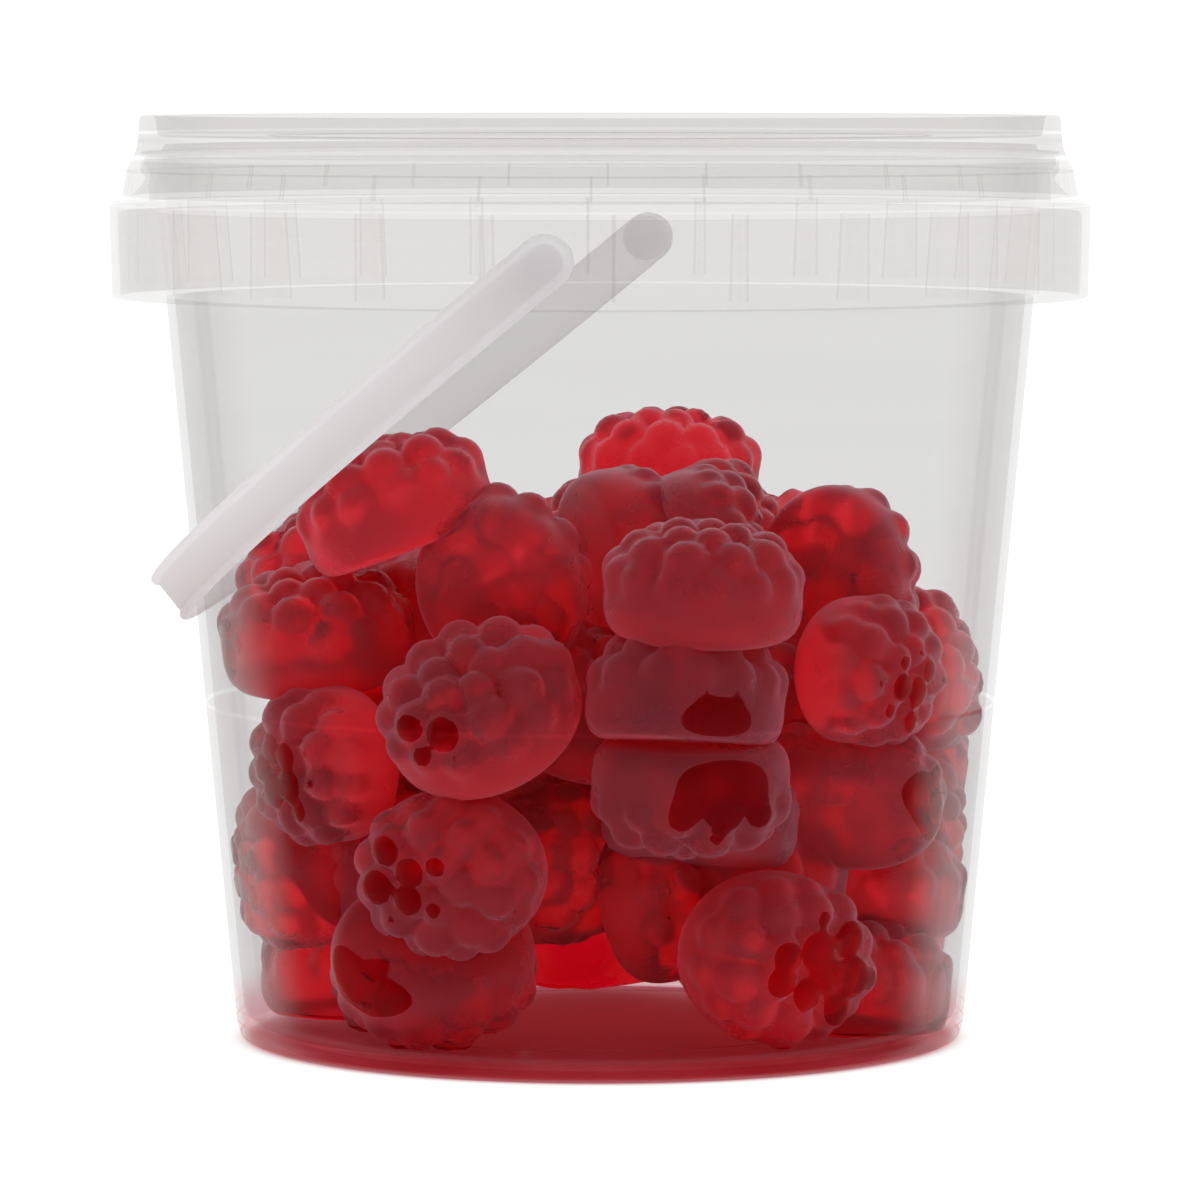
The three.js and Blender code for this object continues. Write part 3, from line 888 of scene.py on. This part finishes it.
def sweet_form(around, rows, seed):
    """Points and faces of one sweet at the origin, dome along +Z, long side along X."""
    half = SWEET_HEIGHT / 2
    profile = smooth_curve(BODY_PROFILE, rows)
    angles = TAU * np.arange(around) / around
    x = profile[:, :1] * np.cos(angles) * SWEET_LENGTH / 2
    y = profile[:, :1] * np.sin(angles) * SWEET_BREADTH / 2
    z = np.repeat(profile[:, 1:] * half, around, 1)
    eye = np.array([0, 0, BEAD_EYE])
    points = np.stack([x, y, z], -1).reshape(-1, 3) - eye
    reach = np.linalg.norm(points, axis=1)
    along = points / reach[:, None]
    for balls in sweet_beads(seeded_row(seed)):
        bead = np.full(len(reach), NO_BEAD)
        for middle, radius in balls:
            offset = np.array(middle) - eye
            near = along @ offset
            depth = radius**2 - (offset @ offset - near**2)
            edge = near + np.sqrt(np.maximum(depth, 0))
            bead = np.maximum(bead, np.where(depth > 0, edge, NO_BEAD))
        share = np.clip(0.5 + 0.5 * (bead - reach) / BEAD_BLEND, 0, 1)
        reach = reach + (bead - reach) * share + BEAD_BLEND * share * (1 - share)
    points = along * reach[:, None] + eye
    caps = np.array([[0, 0, -half], [0, 0, points[-around:, 2].mean()]])
    points = np.concatenate([points, caps])
    faces = []
    for row in range(rows - 1):
        for k in range(around):
            n = (k + 1) % around
            a = row * around
            faces.append((a + k, a + n, a + around + n, a + around + k))
    low, high = rows * around, rows * around + 1
    top = (rows - 1) * around
    for k in range(around):
        n = (k + 1) % around
        faces.append((low, n, k))
        faces.append((high, top + k, top + n))
    return points, faces


def sweet_place(at, dome, spin=0.0, size=1.0):
    """Where a sweet goes, from the heap's front to the tub's own axes."""
    facing = Vector(dome).normalized()
    guide = Vector((0, 0, 1)) if abs(facing.y) > 0.8 else Vector((0, 1, 0))
    long = guide.cross(facing).normalized()
    long.rotate(Matrix.Rotation(math.radians(spin), 3, facing))
    short = facing.cross(long)
    basis = Matrix((long, short, facing)).transposed() * size
    place = Matrix.Translation(at) @ basis.to_4x4()
    return Matrix.Rotation(math.radians(HEAP_TURN), 4, "Z") @ place


def rear_sweets():
    draw = seeded_row(REAR_SEED)
    found = []
    for layer in range(REAR_LAYERS):
        height = REAR_BOTTOM + layer * REAR_LAYER_RISE
        turn = REAR_FIRST_ANGLE + (layer % 2) * (REAR_SPACING / 2)
        if layer == REAR_LAYERS - 1:
            turn += REAR_SPACING
        while turn <= REAR_LAST_ANGLE:
            radius = inner_wall(height) - REAR_WALL_CLEARANCE
            lean = REAR_TILT * (2 * draw() - 1), REAR_TILT * (2 * draw() - 1)
            up = -1 if draw() < REAR_UPSIDE_DOWN else 1
            angle = math.radians(turn)
            found.append(
                dict(
                    at=(radius * math.cos(angle), radius * math.sin(angle), height),
                    dome=(*lean, 2 * up if layer == 0 else up),
                    spin=360 * draw(),
                )
            )
            turn += REAR_SPACING
    return found


def fill_sweets(placed):
    """Sweets for the middle of the heap, each clear of the middles of all others."""
    draw = seeded_row(FILL_SEED)
    taken = [Vector(sweet["at"]) for sweet in placed]
    found = []
    for _ in range(FILL_TRIES):
        radius = FILL_RADIUS * math.sqrt(draw())
        angle = TAU * draw()
        height = FILL_BOTTOM + (FILL_TOP - FILL_BOTTOM) * draw()
        dome = (draw() - 0.5, draw() - 0.5, 0.3 + 0.7 * draw())
        spin = 360 * draw()
        at = Vector((radius * math.cos(angle), radius * math.sin(angle), height))
        in_gap = abs(at.x) < FILL_GAP and height < FILL_GAP_TOP and at.y < FILL_GAP
        apart = min((at - other).length for other in taken)
        if apart > FILL_APART and at.y > FILL_FRONT and not in_gap:
            taken.append(at)
            found.append(dict(at=tuple(at), dome=dome, spin=spin))
    return found


def pressed(points):
    """The points held inside the wall and the floor, and how far each was pressed."""
    radius = np.hypot(points[:, 0], points[:, 1])
    limit = FOOT_RADIUS - SHEET - WALL_FILM + WALL_SLOPE * points[:, 2]
    press = radius - limit
    hold = np.where(press > 0, limit / radius, 1.0)
    points[:, 0] *= hold
    points[:, 1] *= hold
    floor = FLOOR_TOP + FLOOR_FILM
    press = np.maximum(press, floor - points[:, 2])
    points[:, 2] = np.maximum(points[:, 2], floor)
    return points, press


def sweet_forms(around, rows, first_seed, count):
    return [sweet_form(around, rows, first_seed + FORM_SEED_STEP * k) for k in range(count)]


def make_sweets(material):
    fine = sweet_forms(*SHOWN_FORMS)
    plain = sweet_forms(*HIDDEN_FORMS)
    shown = SHOWN_SWEETS
    rear = rear_sweets() + GAP_SWEETS
    fill = fill_sweets(shown + rear)
    points = []
    faces = []
    touch = []
    base = 0
    for number, sweet in enumerate(shown + rear + fill):
        forms = fine if number < len(shown) else plain
        form_points, form_faces = forms[number % len(forms)]
        place = np.array(sweet_place(**sweet))
        here = form_points @ place[:3, :3].T + place[:3, 3]
        here, press = pressed(here)
        points.append(here)
        touch.append(press)
        faces.extend([tuple(base + i for i in face) for face in form_faces])
        base += len(here)
    piece = make_piece("sweets", np.concatenate(points), faces, material)
    layer = piece.data.attributes.new("touch", "FLOAT", "POINT")
    layer.data.foreach_set("value", np.concatenate(touch).clip(-1, 1))
    print("sweets:", len(shown), len(rear), len(fill), "faces", len(faces))
    return piece


# ---------------------------------------------------------------- stage

FLOOR_HALF = 4000
FLOOR_GLOW = 0.97
GLOW_START = 41.5  # distances from the tub's axis
GLOW_FULL = 45.5
UNDER_GLOW = (0.215, 0.022, 0.028, 1)  # light that has come down through the sweets
FRONT_LIGHT = 0.04
BACK_LIGHT = 1.1
BACKDROP = 1.04  # what the camera sees behind the tub


def make_stage():
    """A white floor that glows softly round the tub, and red under it."""
    n = Nodes("pale_floor")
    skin = n.add("ShaderNodeBsdfDiffuse")
    cloud = n.range(n.noise(3, 2), 0.3, 0.7)
    pale = n.mix_colour(cloud, (0.07, 0.07, 0.07, 1), (0.09, 0.09, 0.09, 1))
    place = n.add("ShaderNodeTexCoord")
    reach = n.add("ShaderNodeVectorMath", operation="LENGTH")
    n.link(place.outputs["Object"], reach.inputs[0])
    glow = n.add("ShaderNodeEmission", Color=(1, 1, 1, 1))
    outside = n.range(reach.outputs["Value"], GLOW_START * MM, GLOW_FULL * MM)
    n.link(n.mix_colour(outside, (0.9, 0.9, 0.9, 1), pale), skin.inputs["Color"])
    n.link(n.mix_colour(outside, UNDER_GLOW, (1, 1, 1, 1)), glow.inputs["Color"])
    glow.inputs["Strength"].default_value = FLOOR_GLOW
    both = n.add("ShaderNodeAddShader")
    n.link(skin.outputs[0], both.inputs[0])
    n.link(glow.outputs[0], both.inputs[1])
    n.link(both.outputs[0], n.output.inputs["Surface"])
    n.material.cycles.emission_sampling = "NONE"
    signs = (-1, -1), (1, -1), (1, 1), (-1, 1)
    corners = [(x * FLOOR_HALF, y * FLOOR_HALF, 0) for x, y in signs]
    floor = make_piece("floor", corners, [(0, 1, 2, 3)], n.material)


def make_lights():
    """A white room, dimmer in front of the tub so that the sweets are lit from behind."""
    world = bpy.data.worlds.new("studio")
    world.use_nodes = True
    tree = world.node_tree
    background = tree.nodes["Background"]
    background.inputs["Color"].default_value = (1, 1, 1, 1)
    place = tree.nodes.new("ShaderNodeTexCoord")
    split = tree.nodes.new("ShaderNodeSeparateXYZ")
    front = tree.nodes.new("ShaderNodeMapRange")
    path = tree.nodes.new("ShaderNodeLightPath")
    seen = tree.nodes.new("ShaderNodeMix")
    front.interpolation_type = "SMOOTHSTEP"
    front.inputs["From Min"].default_value = -1.0
    front.inputs["From Max"].default_value = -0.2
    front.inputs["To Min"].default_value = FRONT_LIGHT
    front.inputs["To Max"].default_value = BACK_LIGHT
    seen.data_type = "FLOAT"
    seen.inputs["B"].default_value = BACKDROP
    tree.links.new(place.outputs["Generated"], split.inputs[0])
    tree.links.new(split.outputs["Y"], front.inputs["Value"])
    tree.links.new(path.outputs["Is Camera Ray"], seen.inputs["Factor"])
    tree.links.new(front.outputs[0], seen.inputs["A"])
    tree.links.new(seen.outputs["Result"], background.inputs["Strength"])
    world.cycles.sampling_method = "NONE"
    bpy.context.scene.world = world


def make_camera():
    turn = math.radians(HEAP_TURN)
    data = bpy.data.cameras.new("camera")
    data.sensor_width = SENSOR
    data.lens = FOCAL_PIXELS * SENSOR / FRAME_PIXELS
    data.clip_end = 100
    camera = bpy.data.objects.new("camera", data)
    camera.location = (
        CAMERA_DISTANCE * math.sin(turn) * MM,
        -CAMERA_DISTANCE * math.cos(turn) * MM,
        CAMERA_HEIGHT * MM,
    )
    camera.rotation_euler = (math.radians(90 - CAMERA_PITCH), 0, turn)
    bpy.context.scene.collection.objects.link(camera)
    bpy.context.scene.camera = camera


# ---------------------------------------------------------------- the whole


def dress(piece, body, node):
    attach(piece, body)
    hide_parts(node)


scene = bpy.context.scene
scene.view_settings.view_transform = "Standard"
scene.cycles.max_bounces = 8
scene.cycles.transparent_max_bounces = 40

clear = {}
for key, look in CLEAR_PLASTICS.items():
    clear[key] = clear_plastic("clear_plastic_" + key, *look)
tub = make_tub([clear[key] for key in ("wall", "rim", "neck", "pale", "foot")])
lid = make_lid([clear[key] for key in ("ring", "skirt", "pale", "dark")])
dress(tub, "tub", "tub")
dress(lid, "tub", "lid")
dress(make_bail(white_plastic()), "handle", "handle")
dress(make_sweets(red_gummy()), "tub", "gummy_heap")
make_stage()
make_lights()
make_camera()
